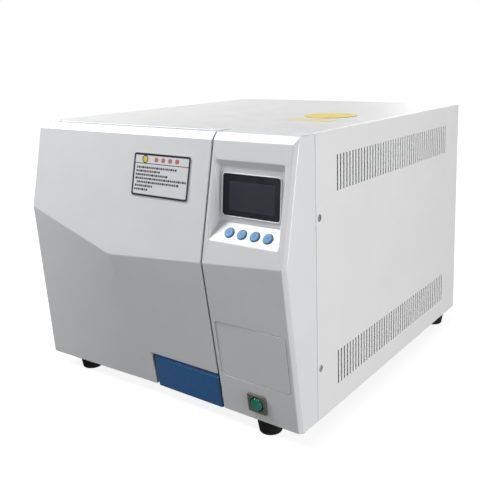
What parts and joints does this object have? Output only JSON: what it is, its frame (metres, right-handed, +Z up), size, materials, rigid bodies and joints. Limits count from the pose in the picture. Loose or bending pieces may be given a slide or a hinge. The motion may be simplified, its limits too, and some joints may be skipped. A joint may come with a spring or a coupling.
{
  "type": "benchtop autoclave",
  "caption": "Benchtop steam autoclave with a faceted front, a side-hinged door, a control column, vented sheet case and a round chamber with trays.",
  "frame": {"origin": "centre of the bounding box in plan, on the surface that the feet stand on", "axes": "+Z up, the front faces -Y, +X is right seen from the front"},
  "size_m": [0.48, 0.575, 0.4],
  "materials": {
    "white_moulding": "fine satin moulding",
    "white_paint": "smooth powder coat",
    "liner_paint": "smooth powder coat",
    "display_glass": "gloss dark window",
    "circuit_board": "solder mask",
    "stainless_steel": "fine brushed",
    "silicone": "matt silicone",
    "zinc_steel": "zinc plated",
    "label_film": "printed film",
    "blue_plastic": "satin blue moulding",
    "button_blue": "satin blue key",
    "grey_plastic": "olive grey moulding",
    "green_lens": "translucent green rocker",
    "chamber_steel": "satin stainless",
    "insulation": "mineral felt",
    "tray_aluminium": "satin sheet",
    "amber_film": "printed film disc",
    "black_rubber": "matt moulded rubber",
    "screw_steel": "plated screw",
    "tank_plastic": "natural polypropylene",
    "copper": "drawn copper",
    "brass": "machined brass",
    "black_plastic": "moulded black"
  },
  "bodies": {
    "case": {"front_frame": "white_moulding", "control_column": "white_moulding", "service_cover": "white_moulding", "display_window": "display_glass", "display_module": "circuit_board", "hinge_bracket": "zinc_steel", "hinge_pin": "stainless_steel", "latch_keeper": "zinc_steel", "lock_solenoid": "zinc_steel", "switch_bezel": "grey_plastic", "chamber": "chamber_steel", "heater_band": "silicone", "chamber_insulation": "insulation", "chamber_saddle_1": "zinc_steel", "chamber_saddle_2": "zinc_steel", "tray_rack": "chamber_steel", "tray_1": "tray_aluminium", "tray_2": "tray_aluminium", "tray_3": "tray_aluminium", "case_cover": "white_paint", "base_plate": "zinc_steel", "rear_panel": "white_paint", "top_label": "amber_film", "foot_1": "black_rubber", "foot_2": "black_rubber", "foot_3": "black_rubber", "foot_4": "black_rubber", "side_screw_1": "screw_steel", "side_screw_2": "screw_steel", "side_screw_3": "screw_steel", "side_screw_4": "screw_steel", "water_tank": "tank_plastic", "vacuum_pump": "zinc_steel", "condenser": "copper", "valve_block": "brass", "steam_pipe": "copper", "air_filter": "tank_plastic", "safety_valve": "brass", "drain_spigot": "brass", "fan_frame": "black_plastic", "control_board": "circuit_board", "power_supply": "zinc_steel", "mains_inlet": "black_plastic"},
    "door": {"door_cover": "white_moulding", "door_liner": "liner_paint", "door_plate": "stainless_steel", "door_gasket": "silicone", "door_yoke": "zinc_steel", "door_label": "label_film", "handle_pin": "stainless_steel"},
    "latch_handle": {"handle_paddle": "blue_plastic", "latch_hook": "zinc_steel"},
    "lock_bolt": {"lock_pin": "stainless_steel"},
    "button_1_body": {"button_1": "button_blue"},
    "button_2_body": {"button_2": "button_blue"},
    "button_3_body": {"button_3": "button_blue"},
    "button_4_body": {"button_4": "button_blue"},
    "rocker": {"power_rocker": "green_lens"},
    "fan": {"fan_rotor": "black_plastic"}
  },
  "joints": [
    {"name": "door_swing", "type": "hinge", "parent": "case", "child": "door", "pos_m": [-0.228, -0.2295, 0.22], "axis": [0, 0, -1], "range_deg": [0, 100]},
    {"name": "handle_pull", "type": "hinge", "parent": "door", "child": "latch_handle", "pos_m": [0.05, -0.25, 0.064], "axis": [-1, 0, 0], "range_deg": [0, 35], "stiffness_Nm_per_rad": 0.5, "springref_deg": -14.32},
    {"name": "lock_bolt_slide", "type": "slide", "parent": "case", "child": "lock_bolt", "axis": [-1, 0, 0], "range_m": [0, 0.012], "stiffness_N_per_m": 150, "springref_m": -0.004},
    {"name": "button_1_press", "type": "slide", "parent": "case", "child": "button_1_body", "axis": [0, 0.7401, -0.6725], "range_m": [0, 0.0015], "stiffness_N_per_m": 400, "springref_m": -0.0005},
    {"name": "button_2_press", "type": "slide", "parent": "case", "child": "button_2_body", "axis": [0, 0.7401, -0.6725], "range_m": [0, 0.0015], "stiffness_N_per_m": 400, "springref_m": -0.0005},
    {"name": "button_3_press", "type": "slide", "parent": "case", "child": "button_3_body", "axis": [0, 0.7401, -0.6725], "range_m": [0, 0.0015], "stiffness_N_per_m": 400, "springref_m": -0.0005},
    {"name": "button_4_press", "type": "slide", "parent": "case", "child": "button_4_body", "axis": [0, 0.7401, -0.6725], "range_m": [0, 0.0015], "stiffness_N_per_m": 400, "springref_m": -0.0005},
    {"name": "power_rocker_tilt", "type": "hinge", "parent": "case", "child": "rocker", "pos_m": [0.1745, -0.25536, 0.0465], "axis": [1, 0, 0], "range_deg": [0, 12]},
    {"name": "fan_spin", "type": "hinge", "parent": "case", "child": "fan", "pos_m": [0.165, 0.257, 0.212], "axis": [0, 1, 0], "continuous": true}
  ]
}
